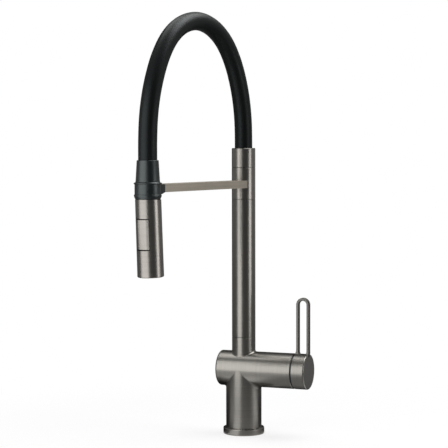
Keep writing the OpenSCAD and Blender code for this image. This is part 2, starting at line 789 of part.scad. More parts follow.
// Black cone over the hose's end; its shoulder traps the fitting's flange
module hose_cone() {
  top_r = cone_top_d / 2;
  foot_r = cone_foot_d / 2;
  color(black) at_head() difference() {
    rotate_extrude() polygon([[0, cone_foot_z], [foot_r, cone_foot_z], [top_r, cone_top_z - 0.5],
      [top_r - 0.5, cone_top_z], [0, cone_top_z]]);
    translate([0, 0, cone_foot_z - 1])
      cylinder(r = cone_cavity_r, h = cone_shoulder_z - cone_foot_z + 1);
    translate([0, 0, cone_foot_z]) cylinder(r = hose_bore_r, h = cone_h + 1);
  }
}

// Dock collar: upper ring, band that the dock block holds, lower ring and a tapered foot
module dock_collar() {
  color(black) at_head() difference() {
    rotate_extrude() polygon([[0, collar_foot_z], [collar_foot_d / 2, collar_foot_z],
      [lower_ring_d / 2, lower_ring_z - lower_ring_t + 1], [lower_ring_d / 2, lower_ring_z - 0.5],
      [lower_ring_d / 2 - 0.5, lower_ring_z], [band_d / 2, lower_ring_z], [band_d / 2, upper_ring_z],
      [upper_ring_d / 2 - 0.5, upper_ring_z], [upper_ring_d / 2, upper_ring_z + 0.5],
      [upper_ring_d / 2, cone_foot_z - 0.6], [upper_ring_d / 2 - 0.6, cone_foot_z], [0, cone_foot_z]]);
    translate([0, 0, collar_foot_z - 1]) cylinder(r = socket_r + seat_gap, h = 40);
    translate([0, 0, collar_foot_z - 1])
      cylinder(r = keeper_r + seat_gap, h = upper_ring_z - collar_foot_z);
  }
}

module keeper_ring() {
  color([0.6, 0.6, 0.62]) at_head() translate([0, 0, keeper_foot_z])
    ring(keeper_r, keeper_r - keeper_t, upper_ring_z - 1 - keeper_foot_z);
}

// Steel spray body: a tapered tube, cut level under the collar, with the button's window
module spray_shell() {
  r0 = shell_top_d / 2;
  r1 = shell_foot_d / 2;
  e = shell_edge_r;
  color(steel) intersection() {
    lean_frame() difference() {
      rotate_extrude() polygon([[r0 - shell_wall, 4], [r0, 4], [r1, e - shell_len],
        [r1 - e, -shell_len], [r1 - shell_wall - 1, -shell_len], [r1 - shell_wall - 1, -shell_len + 1.5],
        [r1 - shell_wall, -shell_len + 1.5]]);
      translate([0, -window_w / 2, -button_drop - window_h / 2]) cube([r1 + 5, window_w, window_h]);
    }
    at_head() cylinder(r = shell_len, h = shell_top_z);
  }
}

// Waterway core: socket for the hose's end above, chamber for the spool and the rocker's lugs below
module spray_core() {
  color([0.2, 0.2, 0.2]) difference() {
    union() {
      at_head() translate([0, 0, collar_foot_z - 4])
        cylinder(r = socket_r, h = end_flange_z - collar_foot_z + 4 - flange_play);
      lean_frame() translate([0, 0, -core_len]) cylinder(r = core_r, h = core_len - 0.5);
    }
    at_head() translate([0, 0, swivel_foot_z - 0.5]) cylinder(r = swivel_r + run_gap, h = 30);
    at_head() translate([0, 0, collar_foot_z - 8]) cylinder(r = 5, h = 30);
    lean_frame() {
      translate([spool_x, 0, -core_len - 1]) cylinder(r = spool_r + run_gap, h = core_len - 6);
      translate([0, 0, -core_len - 1]) cylinder(r = core_r - 3, h = 12);
      translate([button_room, -window_w / 2 - 0.3, -button_drop - window_h / 2 - 0.3])
        cube([core_r, window_w + 0.6, window_h + 0.6]);
      translate([spool_x, -hub_w / 2 - 0.4, -button_drop - slot_h / 2])
        cube([core_r, hub_w + 0.8, slot_h]);
      translate([pin_out, -core_r, -button_drop]) rotate([-90, 0, 0])
        cylinder(r = rocker_pin_d / 2 + seat_gap, h = 2 * core_r);
    }
  }
}

module core_seals() {
  color(rubber) lean_frame() translate([0, 0, plate_z + plate_t])
    ring(core_r - 0.3, core_r - 2.7, core_seal_h);
}

module check_valve() {
  color(plastic) at_head() translate([0, 0, collar_foot_z]) difference() {
    cylinder(r = 5 - seat_gap, h = 12);
    translate([0, 0, -1]) cylinder(r = 3, h = 9);
    for (a = [0:120:240]) rotate([0, 0, a]) translate([2, 0, 5]) cylinder(r = 1.2, h = 9);
  }
}

// Spray face: two rings of nozzles around the stream former
module nozzle_plate() {
  r = core_r - 0.1;
  color(black) lean_frame() translate([0, 0, plate_z]) difference() {
    cylinder(r = r, h = plate_t);
    translate([0, 0, -1]) cylinder(r = former_r + seat_gap, h = plate_t + 2);
    for (n = nozzle_rings) for (k = [0:n[0] - 1]) rotate([0, 0, 360 * k / n[0]])
      translate([n[1], 0, -1]) cylinder(r = nozzle_r, h = plate_t + 2, $fn = 16);
  }
}

module stream_former() {
  color(plastic) lean_frame() translate([0, 0, plate_z]) difference() {
    cylinder(r = former_r, h = plate_t);
    for (a = [0:60:300]) rotate([0, 0, a]) translate([3.2, 0, -1])
      cylinder(r = 0.9, h = plate_t + 2, $fn = 16);
  }
}

module rocker_pin() {
  half = core_r - 0.6;
  color(steel) lean_frame() translate([pin_out, -sqrt(half * half - pin_out * pin_out), -button_drop])
    rotate([-90, 0, 0]) cylinder(r = rocker_pin_d / 2, h = 2 * sqrt(half * half - pin_out * pin_out));
}

// Rocker button: flat face with two bevels, a hub on the pin and a nose that moves the spool
module rocker_button() {
  hub_r = rocker_pin_d / 2 + hub_wall;
  color(steel) lean_frame() translate([0, 0, -button_drop]) difference() {
    union() {
      translate([0, 0, -button_h / 2]) linear_extrude(button_h) polygon([[button_back, -button_w / 2],
        [button_edge, -button_w / 2], [button_face, -button_flat_w / 2],
        [button_face, button_flat_w / 2], [button_edge, button_w / 2],
        [button_back, button_w / 2]]);
      translate([pin_out, -hub_w / 2, 0]) rotate([-90, 0, 0]) cylinder(r = hub_r, h = hub_w);
      translate([pin_out, -hub_w / 2, -hub_r]) cube([button_back - pin_out + 1, hub_w, 2 * hub_r]);
      translate([pin_out - nose_in, 0, 0]) rotate([0, 90, 0]) cylinder(r = nose_r - 0.3, h = nose_in);
      translate([pin_out - nose_in, 0, 0]) sphere(r = nose_r);
    }
    translate([pin_out, -hub_w, 0]) rotate([-90, 0, 0])
      cylinder(r = rocker_pin_d / 2 + run_gap, h = 2 * hub_w);
  }
}

// Spool with a waist that the rocker's nose reaches into
module diverter_spool() {
  slot = nose_r + run_gap;
  color(brass) lean_frame() translate([spool_x, 0, -button_drop]) difference() {
    translate([0, 0, -spool_len / 2]) cylinder(r = spool_r, h = spool_len);
    translate([-slot - 0.3, -spool_r - 1, -slot]) cube([2 * spool_r + 1, 2 * spool_r + 2, 2 * slot]);
    for (z = spool_seal_z) translate([0, 0, z])
      ring(spool_r + 1, spool_r - 2 * spool_seal_r, 2 * spool_seal_r + 0.4);
  }
}

module spool_seals() {
  color(rubber) lean_frame() translate([spool_x, 0, -button_drop])
    for (z = spool_seal_z) translate([0, 0, z + spool_seal_r + 0.2]) rubber_ring(spool_r, spool_seal_r);
}

base_flange();
deck_gasket();
faucet_body();
inlet_block();
inlet_seals();
cartridge_base();
cartridge_housing();
fixed_disc();
cartridge_seals();
cartridge_nut();
slide_ring();
swivel_washer();
neck_screw();
lever_drum();
lever_loop();
lever_screw();
cartridge_stem();
moving_disc();
riser_spigot();
spigot_seals();
riser_tube();
riser_plug();
arm_collar();
holder_arm();
dock_block();
dock_magnet();
dock_screw();
top_ferrule();
hose_nipple();
nipple_seal();
hose();
hose_end_fitting();
hose_end_seal();
hose_cone();
dock_collar();
keeper_ring();
spray_shell();
spray_core();
core_seals();
check_valve();
nozzle_plate();
stream_former();
rocker_pin();
rocker_button();
diverter_spool();
spool_seals();
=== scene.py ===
import math

import bpy
import numpy as np
from mathutils import Matrix


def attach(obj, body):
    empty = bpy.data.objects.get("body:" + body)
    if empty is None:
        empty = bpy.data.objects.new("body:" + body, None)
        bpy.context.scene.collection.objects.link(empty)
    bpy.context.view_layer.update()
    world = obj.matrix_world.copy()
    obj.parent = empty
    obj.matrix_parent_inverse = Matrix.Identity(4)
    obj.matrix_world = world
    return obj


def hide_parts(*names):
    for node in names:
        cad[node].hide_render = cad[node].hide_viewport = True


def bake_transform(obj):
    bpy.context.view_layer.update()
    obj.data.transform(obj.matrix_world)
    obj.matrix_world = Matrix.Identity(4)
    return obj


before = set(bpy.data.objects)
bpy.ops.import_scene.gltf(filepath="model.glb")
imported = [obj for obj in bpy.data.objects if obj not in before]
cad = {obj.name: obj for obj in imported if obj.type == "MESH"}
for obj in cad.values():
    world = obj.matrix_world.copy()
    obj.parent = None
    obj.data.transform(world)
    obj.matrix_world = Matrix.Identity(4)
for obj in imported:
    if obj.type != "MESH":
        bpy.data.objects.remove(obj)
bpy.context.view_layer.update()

# Camera: a long lens a little over two metres away, level with the holder arm and turned to the
# lever's side, so that the arm comes forward to the left. It looks down by three degrees.
def camera_axes(yaw, pitch, roll):
    """Right, up and ahead of a camera: ahead is turned by yaw from +Y and dips by pitch, and
    right and up are then turned about it by roll. Angles in degrees."""
    yaw, pitch, roll = np.radians([yaw, pitch, roll])
    ahead = np.array([-np.sin(yaw) * np.cos(pitch), np.cos(yaw) * np.cos(pitch), -np.sin(pitch)])
    level = np.array([np.cos(yaw), np.sin(yaw), 0.0])
    over = np.cross(level, ahead)
    right = np.cos(roll) * level + np.sin(roll) * over
    return right, np.cross(right, ahead), ahead


def placed(x_axis, y_axis, z_axis, at):
    """The matrix that puts an object at a point, with its axes along three directions."""
    return Matrix(np.vstack([np.column_stack([x_axis, y_axis, z_axis, at]),
                             [0, 0, 0, 1]]).tolist())


CAMERA_YAW, CAMERA_DIP, CAMERA_ROLL = 21.85, 2.956, -0.104
CAMERA_AT = [0.7465, -1.92888, 0.37509]
lens = bpy.data.cameras.new("camera")
lens.lens, lens.sensor_width = 130.47, 36.0
lens.clip_start, lens.clip_end = 0.05, 50.0
camera = bpy.data.objects.new("camera", lens)
right, up, ahead = camera_axes(CAMERA_YAW, CAMERA_DIP, CAMERA_ROLL)
camera.matrix_world = placed(right, up, -ahead, CAMERA_AT)
bpy.context.collection.objects.link(camera)
bpy.context.scene.camera = camera
bpy.context.scene.view_settings.view_transform = "Standard"

# Hose: one soft black rubber tube, 460 mm long, satin and smooth. It is pushed on a nipple in the
# top ferrule, bows over in the arm's plane and ends on the spray head's fitting.
ARM_TURN = math.radians(10)
OUT = np.array([-math.sin(ARM_TURN), -math.cos(ARM_TURN), 0.0])
SIDE = np.array([math.cos(ARM_TURN), -math.sin(ARM_TURN), 0.0])
UP = np.array([0.0, 0.0, 1.0])
REACH = 0.215
HOSE_D, HOSE_BORE = 0.0223, 0.0104
HOSE_SIDES = 56
# the middle line: metres out from the column's axis in the arm's plane, and height
ROUTE = np.array([
    [0, 0.352], [0, 0.364], [0, 0.376], [0.001, 0.399], [0.005, 0.423], [0.013, 0.448],
    [0.026, 0.4733], [0.046, 0.4968], [0.074, 0.5132], [0.107, 0.5194], [0.1402, 0.5132],
    [0.1676, 0.497], [0.1874, 0.4735], [0.2004, 0.448], [0.2088, 0.423], [0.2133, 0.399],
    [0.2148, 0.376], [0.215, 0.364], [0.215, 0.351], [0.215, 0.338]])


def smooth_line(points, steps, spread):
    """Catmull-Rom spline through the points, `steps` to a span, then a bell-weighted mean over
    `spread` steps either way with the ends carried on straight, so that it bends evenly."""
    p = np.vstack([2 * points[0] - points[1], points, 2 * points[-1] - points[-2]])
    t = (np.arange(steps) / steps)[None, :, None]
    a, b, c, d = (p[k:len(p) - 3 + k][:, None] for k in range(4))
    line = 0.5 * (2 * b + (c - a) * t + (2 * a - 5 * b + 4 * c - d) * t ** 2
                  + (3 * b - a - 3 * c + d) * t ** 3)
    line = np.vstack([line.reshape(-1, points.shape[1]), points[-1]])
    k = np.arange(1, spread + 1)[:, None]
    ends = [line[0] + k[::-1] * (line[0] - line[1]), line, line[-1] + k * (line[-1] - line[-2])]
    bell = np.exp(-2.5 * (np.arange(-spread, spread + 1) / spread) ** 2)
    return np.stack([np.convolve(q, bell / bell.sum(), "valid") for q in np.vstack(ends).T], 1)


def grid_mesh(name, grid, wrap=(True, True), uv=None, finish=None, flip=False):
    """A surface from a grid of points [row, column, xyz]: each face joins a point, the next in
    its row and the two above. wrap closes the rows' and the columns' ends on themselves. An
    axis before the rows holds copies of the grid that go into the same mesh."""
    rows, columns = grid.shape[-3:-1]
    i, k = np.meshgrid(np.arange(rows if wrap[0] else rows - 1),
                       np.arange(columns if wrap[1] else columns - 1), indexing="ij")
    i2, k2 = (i + 1) % rows, (k + 1) % columns
    corners = np.stack([i * columns + k, i * columns + k2, i2 * columns + k2, i2 * columns + k],
                       -1).reshape(-1, 4)
    if flip:
        corners = corners[:, ::-1]
    copies = np.arange(grid.size // (rows * columns * 3))[:, None, None]
    corners = (copies * rows * columns + corners).reshape(-1, 4)
    mesh = bpy.data.meshes.new(name)
    mesh.from_pydata(grid.reshape(-1, 3).tolist(), [], corners.tolist())
    mesh.polygons.foreach_set("use_smooth", np.ones(len(corners), bool))
    if uv is not None:
        layer = mesh.uv_layers.new(name="UVMap")
        # a face that closes the grid on itself gets the coordinate after the last, not the first
        ui, uk = np.stack([i, i, i + 1, i + 1], -1), np.stack([k, k + 1, k + 1, k], -1)
        if flip:
            ui, uk = ui[..., ::-1], uk[..., ::-1]
        layer.data.foreach_set("uv", np.stack([uv[0](ui), uv[1](uk)], -1)
                               .reshape(-1).astype(np.float32))
    mesh.update()
    mesh.set_sharp_from_angle(angle=math.radians(40))
    piece = bpy.data.objects.new(name, mesh)
    bpy.context.collection.objects.link(piece)
    if finish:
        mesh.materials.append(finish)
    return piece


class Wire:
    """A socket in a material's node tree. Sums of wires and numbers add Math nodes."""

    def __init__(self, tree, socket):
        self.tree, self.socket = tree, socket

    def node(self, kind, inputs, settings=None, out=0):
        """Adds a node: first its settings, then each input, which is linked when it is a wire.
        Returns the wire of output `out`."""
        made = self.tree.nodes.new("ShaderNode" + kind)
        for key, value in (settings or {}).items():
            setattr(made, key, value)
        for key, value in inputs.items():
            if isinstance(value, Wire):
                self.tree.links.new(value.socket, made.inputs[key])
            else:
                made.inputs[key].default_value = value
        return Wire(self.tree, made.outputs[out])

    def maths(self, operation, a, b=0.0):
        return self.node("Math", {0: a, 1: b}, {"operation": operation})

    def __add__(self, other): return self.maths("ADD", self, other)
    def __sub__(self, other): return self.maths("SUBTRACT", self, other)
    def __rsub__(self, other): return self.maths("SUBTRACT", other, self)
    def __mul__(self, other): return self.maths("MULTIPLY", self, other)
    def __pow__(self, other): return self.maths("POWER", self, other)
    __radd__, __rmul__ = __add__, __mul__

    def step(self, low, high):
        """0 up to low, 1 from high on, smooth between them."""
        return self.node("MapRange", {"Value": self, "From Min": low, "From Max": high},
                         {"interpolation_type": "SMOOTHSTEP"})

    def mixed(self, a, b):
        """Colour a where this wire is 0, and b where it is 1."""
        a, b = (c if isinstance(c, Wire) else (*c, 1) for c in (a, b))
        return self.node("Mix", {"Factor": self, "A": a, "B": b}, {"data_type": "RGBA"}, out=2)


class Finish:
    """A material with its shader, its surface place (object coordinates) and noise on it."""

    def __init__(self, name, colour, metallic, roughness, **constants):
        self.material = bpy.data.materials.new(name)
        self.material.use_nodes = True
        self.material.diffuse_color = (*colour, 1)
        tree = self.material.node_tree
        self.shader = tree.nodes["Principled BSDF"]
        self.wire = Wire(tree, None)
        for key, value in {"Base Color": (*colour, 1), "Metallic": metallic,
                           "Roughness": roughness, **constants}.items():
            self.shader.inputs[key].default_value = value
        self.place = self.wire.node("TexCoord", {}, out="Object")
        self.x, self.y, self.z = (self.wire.node("SeparateXYZ", {0: self.place}, out=k)
                                  for k in range(3))

    def noise(self, at, scale=1.0, detail=2.0, roughness=0.5):
        """Noise from about 0 to 1 at a place, with that many waves in a metre."""
        return self.wire.node("TexNoise", {"Vector": at, "Scale": scale, "Detail": detail,
                                           "Roughness": roughness})

    def vector(self, x, y, z):
        return self.wire.node("CombineXYZ", {0: x, 1: y, 2: z})

    def feed(self, **links):
        """Links wires to the shader's sockets; Base_Color stands for Base Color."""
        for key, value in links.items():
            self.wire.tree.links.new(value.socket, self.shader.inputs[key.replace("_", " ")])
        return self

    def bump(self, height, distance):
        """Bent normals as if a height of 1 stood that many metres out of the surface."""
        return self.wire.node("Bump", {"Height": height, "Distance": distance})

    def along(self, direction):
        """Distance from the column's axis along a level direction."""
        return self.x * direction[0] + self.y * direction[1]


def shade(colour, share):
    """A colour with all its channels times one share, or each times its own."""
    return [c * s for c, s in zip(colour, np.broadcast_to(share, 3))]


def rubber_skin(name, colour, roughness):
    """Satin rubber: a pebbled skin under half a millimetre across, long soft swells from the
    extruder, which follow the hose, and patches a little duller from handling."""
    f = Finish(name, colour, 0.0, roughness, **{
        "Specular IOR Level": 0.24, "Specular Tint": (0.89, 0.99, 1.0, 1)})
    pebble = f.noise(f.place, 2600, 1.0)
    swell = f.noise(f.wire.node("TexCoord", {}, out="UV"), 60, 2.0)
    worn = f.noise(f.place, 14, 3.0).step(0.42, 0.7)
    tone = (worn * 0.5 + pebble * 0.5).mixed(shade(colour, 0.85), shade(colour, 1.3))
    return f.feed(Base_Color=tone, Roughness=roughness - 0.05 + worn * 0.09 + pebble * 0.04,
                  Normal=f.bump(pebble * 0.6 + swell * 0.4, 0.00006)).material


hose_line = smooth_line(ROUTE, steps=12, spread=6)
ahead_of = np.gradient(hose_line, axis=0)
ahead_of /= np.linalg.norm(ahead_of, axis=1)[:, None]
centre = hose_line[:, :1] * OUT + hose_line[:, 1:] * UP
turn = np.linspace(0, 2 * np.pi, HOSE_SIDES, endpoint=False)


def hose_skin(radius):
    """Ring of radius r square to the line at each of its points: point + r cos(a) times the
    line's normal in the arm's plane + r sin(a) sideways."""
    normal = -ahead_of[:, 1:] * OUT + ahead_of[:, :1] * UP
    ring = np.cos(turn)[None, :, None] * normal[:, None] + np.sin(turn)[None, :, None] * SIDE
    return centre[:, None] + radius * ring


hose_along = np.concatenate([[0], np.cumsum(np.linalg.norm(np.diff(hose_line, axis=0), axis=1))])
walls = np.concatenate([hose_skin(HOSE_D / 2), hose_skin(HOSE_BORE / 2)[::-1]])
# the pattern's coordinates in metres: out over the skin, back through the bore, and round
GIRTH, BORE_SHIFT = 0.07, 0.01
lengths = np.concatenate([hose_along, hose_along[::-1] + BORE_SHIFT, [0]])
hose = grid_mesh("hose_tube", walls, flip=True,
                 uv=(lambda i: lengths[i], lambda k: k * GIRTH / HOSE_SIDES),
                 finish=rubber_skin("hose_rubber", (0.0005, 0.0008, 0.001), 0.47))
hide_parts("hose")
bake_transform(hose)

# Base ring, column, barrel and neck: brass castings under a dark brushed steel-coloured coat.
# The brush runs round the column and the neck, and round the barrel's own axis on the barrel.
COAT = (0.2145, 0.208, 0.193)
SKEW = 0.7


def hairlines(f, axial, radial, slow):
    """Brush marks that run round a turned part: noise that changes fast along its axis and
    across its faces, and slowly the way the brush ran. Fine lines, and broader ones. slow is
    a skew sum of the two directions across the axis, so that it changes all the way round."""
    def streaks(across, along, detail, roughness):
        """Noise with that many waves in a metre across the marks and along them."""
        place = f.vector(axial * across, radial * across, slow * along)
        return f.noise(place, 1, detail, roughness)

    return streaks(2400, 16, 3.0, 0.7), streaks(260, 7, 2.0, 0.5)


def brushed(name, lines, colour=COAT, roughness=0.29, area=None):
    """Brushed dark coat over metal: hairlines in its height, colour and gloss, a slow cloud of
    handling marks, and a faint warm cast where the coat is thin. area gives a wire that is 1
    where painted light or painted shade goes on the coat, and the share of its colour there."""
    f = Finish(name, colour, 1.0, roughness)
    fine, broad = lines(f)
    cloud = f.noise(f.place, 21, 3.0)
    tone = (fine * 0.55 + broad * 0.2 + cloud * 0.25).step(0.25, 0.75).mixed(
        shade(colour, 0.86), shade(colour, (1.15, 1.13, 1.11)))
    if area:
        mask, share = area(f)
        tone = mask.mixed(tone, shade(colour, share))
    return f.feed(Base_Color=tone,
                  Roughness=roughness - 0.06 + fine * 0.06 + broad * 0.03 + cloud * 0.05,
                  Normal=f.bump(fine * 0.8 + broad * 0.2, 0.000025)).material


def round_z(f):
    """Hairlines round the column's axis."""
    return hairlines(f, f.z, (f.x ** 2 + f.y ** 2) ** 0.5, f.x + f.y * SKEW)


BARREL_Z, BARREL_R = 0.083, 0.0225
COLUMN_R, RISER_R = 0.0227, 0.015


def barrel_radius(f):
    """Distance from the barrel's axis."""
    return (f.y ** 2 + (f.z - BARREL_Z) ** 2) ** 0.5


def round_x(f):
    """Hairlines round the barrel's axis."""
    return hairlines(f, f.x, barrel_radius(f), f.y + f.z * SKEW)


def round_body(f):
    """On the barrel's own radius about its axis the lines run round it, elsewhere round Z."""
    on_barrel = 1 - (barrel_radius(f) - BARREL_R).step(0.00005, 0.0003)
    return tuple(on_barrel * a + (1 - on_barrel) * b for a, b in zip(round_x(f), round_z(f)))


def dress(finish, *nodes):
    """Puts a finish on CAD nodes, which stay as they are."""
    for name in nodes:
        cad[name].data.materials.clear()
        cad[name].data.materials.append(finish)


coat_z = brushed("coat_round_z", round_z)
coat_body = brushed("coat_body", round_body)
dress(coat_z, "base_flange")
dress(coat_body, "faucet_body")


def slerp(first, second, angle, steps):
    """Points on the arc from one direction to another that is `angle` from it: at share t they
    are (sin((1 - t) angle) first + sin(t angle) second) / sin(angle)."""
    t = np.linspace(0, 1, steps)[None, :, None]
    from_first, from_second = np.sin((1 - t) * angle), np.sin(t * angle)
    return (from_first * first[:, None] + from_second * second[:, None]) / np.sin(angle)


def capped(rings):
    """Rings with one more at either end, drawn in to a point in the end's middle."""
    tips = rings[[0, -1]].mean(1, keepdims=True) + 0 * rings[[0, -1]]
    return np.concatenate([tips[:1], rings, tips[1:]])


def cast_corner(name, post_r, above, start, stop, ball):
    """Concave strip a ball leaves as it rolls along the corner between an upright cylinder of
    radius R and the barrel of radius B. At azimuth a its middle is at C = ((R + ball) cos a,
    (R + ball) sin a, barrel's height +- sqrt((B + ball)^2 - ((R + ball) sin a)^2)). The strip
    is C + ball * slerp(d1, d2), where d1 and d2 point from C at the two cylinders' axes."""
    a = np.radians(np.linspace(start, stop, 97))
    side = 1 if above else -1
    x, y = (post_r + ball) * np.cos(a), (post_r + ball) * np.sin(a)
    z = side * np.sqrt(np.maximum((BARREL_R + ball) ** 2 - y ** 2, 0))
    to_post = np.stack([-np.cos(a), -np.sin(a), 0 * a], 1)
    to_barrel = np.stack([0 * a, -y, -z], 1) / (BARREL_R + ball)
    angle = np.arccos(np.clip((to_post * to_barrel).sum(1), -1, 0.9999))[:, None, None]
    middle = np.stack([x, y, z + BARREL_Z], 1)[:, None]
    inside = middle + (to_post + to_barrel)[:, None] * ball
    strip = np.concatenate([middle + ball * slerp(to_post, to_barrel, angle, 9), inside], 1)
    all_round = stop - start == 360
    piece = grid_mesh(name, strip[:-1] if all_round else capped(strip), wrap=(all_round, True),
                      finish=coat_body, flip=not above)
    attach(piece, "body")


cast_corner("neck_corner", RISER_R, above=True, start=0, stop=360, ball=0.0024)
cast_corner("column_corner_right", COLUMN_R, above=False, start=-80, stop=80, ball=0.003)
cast_corner("column_corner_left", COLUMN_R, above=False, start=100, stop=260, ball=0.003)

# Riser, arm collar and top ferrule: thin steel tube and turned rings in the same coat, clamped on
# each other by the ferrule's thread, with the brush round them and a fine groove at each seam.
# The rings' coat is a little lighter than the tube's. Painted shade darkens the ferrule's
# chamfered top edge and the groove at its foot.
dress(coat_z, "riser_tube")
# the seam's height, the groove's edges and the chamfer's heights, where painted shade darkens the
# coat, and the share of its colour left there
FERRULE_FOOT_Z, GROOVE_EDGE = 0.3405, (0.00015, 0.00035)
CHAMFER_Z, PAINTED_SHADE_SHARE = (0.3638, 0.3646), 0.15


def painted_shade_edges(f):
    """Painted shade on the ferrule's chamfered top edge and in the groove at the seam below it: a
    wire that is 1 there, and the share of the colour left.
    """
    from_seam = ((f.z - FERRULE_FOOT_Z) ** 2) ** 0.5
    groove = 1 - from_seam.step(*GROOVE_EDGE)
    return f.wire.maths("MAXIMUM", f.z.step(*CHAMFER_Z), groove), PAINTED_SHADE_SHARE


dress(brushed("coat_rings", round_z, (0.248, 0.238, 0.220), area=painted_shade_edges), "arm_collar",
      "top_ferrule")

# Lever: a turned drum with a bent bar for its loop, welded on and ground smooth at its feet. The
# brush runs round the drum and over its face in circles, and along the bar. The drum's end face
# is painted lighter: painted light standing in for a brighter reflection there.
# where the drum's end face gets painted light, and how much lighter its colour is there
DRUM_END_X, PAINTED_LIGHT_SHARE = (0.0877, 0.088), 1.4
dress(brushed("coat_drum", round_x, area=lambda f: (f.x.step(*DRUM_END_X), PAINTED_LIGHT_SHARE)),
      "lever_drum")


def loop_skin():
    """The bar along its bent line: foot of the outer leg, half circle, foot of the inner leg.
    Each ring is a rectangle with corners of radius r, reaching `outer` and `inner` along the
    line's normal and `half` to each side. Near the drum the bar widens by k (1 - h/H)^2 with
    the height h above it, and the outer leg thins until it lies in the drum's end face."""
    inner_x, outer_x, bend_z, foot_z, drum_z = 0.0736, 0.0873, 0.1678, 0.1015, 0.1055
    thick, thinned, wide, r = 0.00185, 0.0008, 0.0028, 0.0009
    leg = foot_z + (bend_z - foot_z) * np.linspace(0, 1, 60) ** 1.6
    bend = np.linspace(0, np.pi, 41)[1:-1]
    middle_x, bend_r = (inner_x + outer_x) / 2, (outer_x - inner_x) / 2
    x = np.concatenate([0 * leg + outer_x, middle_x + bend_r * np.cos(bend), 0 * leg + inner_x])
    z = np.concatenate([leg, bend_z + bend_r * np.sin(bend), leg[::-1]])
    out_x = np.concatenate([0 * leg + 1, np.cos(bend), 0 * leg - 1])
    out_z = np.concatenate([0 * leg, np.sin(bend), 0 * leg])
    above = z - drum_z
    on_outer = x > outer_x - 1e-6

    def widen(most, height):
        return most * np.clip(1 - above / height, 0, 1.3) ** 2

    # 0 up to 4 mm below the drum's top, 1 from 2 mm above it on
    risen = np.clip((above + 0.004) / 0.006, 0, 1)
    outer = np.where(on_outer, thinned + (thick - thinned) * risen ** 2 * (3 - 2 * risen),
                     thick + widen(0.0013, 0.006))
    inner = thick + widen(0.0007, 0.003)
    half = wide + widen(0.0007, 0.005)
    sides = 48
    turn = np.linspace(0, 2 * np.pi, sides, endpoint=False) + np.pi / sides
    u, v = np.cos(turn), np.sin(turn)
    # a quarter circle of radius r stands on each corner of the rectangle, drawn in by r
    along = np.where(u > 0, outer[:, None], inner[:, None]) * np.sign(u) - r * np.sign(u) + r * u
    across = (half[:, None] - r) * np.sign(v) + r * v
    return capped(np.stack([x[:, None] + out_x[:, None] * along, across,
                            z[:, None] + out_z[:, None] * along], 2))


# the bar's coat is painted about half as light as the drum's: painted shade where the lamps' light
# misses it
loop = grid_mesh("loop_bar", loop_skin(), wrap=(False, True), finish=brushed(
    "coat_loop_painted_shade", lambda f: hairlines(f, f.x, f.y, f.z), (0.108, 0.105, 0.097), 0.32))
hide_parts("lever_loop")
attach(loop, "lever")

# Holder arm: a flat steel bar whose round tenon is fixed in the collar. Its coat is lighter and
# warmer than the turned parts', and it is brushed along its length, which makes it look softer.
def along_arm(f):
    """Hairlines along the arm."""
    return hairlines(f, f.z, f.along(SIDE), f.along(OUT))


dress(brushed("coat_arm", along_arm, (0.485, 0.445, 0.38), 0.5), "holder_arm")

# Black plastic: cone, dock collar and dock block, moulded with a fine matt grain. The cone and
# the collar close the spray head round the hose's end, and the block's tongue is screwed into
# the arm. The washer in the neck's seam and the ring behind the lever are of the same plastic.
def moulded(name, colour, roughness, **constants):
    """Moulded plastic: a fine spark-eroded grain, and a faint drift in colour and gloss."""
    f = Finish(name, colour, 0.0, roughness, **constants)
    grain = f.noise(f.place, 3200, 2.0, 0.6)
    drift = f.noise(f.place, 30, 2.0)
    tone = (grain * 0.4 + drift * 0.6).mixed(shade(colour, 0.8), shade(colour, 1.25))
    return f.feed(Base_Color=tone, Roughness=roughness - 0.05 + grain * 0.06 + drift * 0.04,
                  Normal=f.bump(grain, 0.00004)).material


black = moulded("black_moulding", (0.001, 0.0025, 0.0025), 0.36,
                **{"Specular IOR Level": 0.66, "Specular Tint": (0.91, 1.0, 1.0, 1)})
dress(black, "dock_block", "swivel_washer", "slide_ring")


def rounded(corners, radii, steps=6):
    """A closed outline with each corner turned into an arc: for a corner of half angle h and
    radius r the arc's middle lies r / sin h along the bisector, and it is swept by slerp."""
    p, r = np.array(corners, float), np.array(radii, float)[:, None]
    back, on = np.roll(p, 1, 0) - p, np.roll(p, -1, 0) - p
    back /= np.linalg.norm(back, axis=1)[:, None]
    on /= np.linalg.norm(on, axis=1)[:, None]
    half = np.arccos(np.clip((back * on).sum(1), -1, 1))[:, None] / 2
    middle = p + (back + on) / np.linalg.norm(back + on, axis=1)[:, None] * r / np.sin(half)
    first, last = (p + d * r / np.tan(half) - middle for d in (back, on))
    arc = slerp(first, last, (np.pi - 2 * half)[:, None], steps)
    return (middle[:, None] + arc).reshape(-1, 2)


def turned(name, outline, middle, axis, finish, columns=96):
    """A closed outline of (radius, height) points turned about an axis through middle."""
    axis = np.array(axis) / np.linalg.norm(axis)
    first = np.cross(axis, SIDE if abs(axis @ SIDE) < 0.5 else UP)
    first /= np.linalg.norm(first)
    a = np.linspace(0, 2 * np.pi, columns, endpoint=False)[None, :, None]
    spoke = np.cos(a) * first + np.sin(a) * np.cross(axis, first)
    rings = middle + outline[:, :1, None] * spoke + outline[:, 1:, None] * axis
    return grid_mesh(name, rings, finish=finish)


HEAD = REACH * OUT
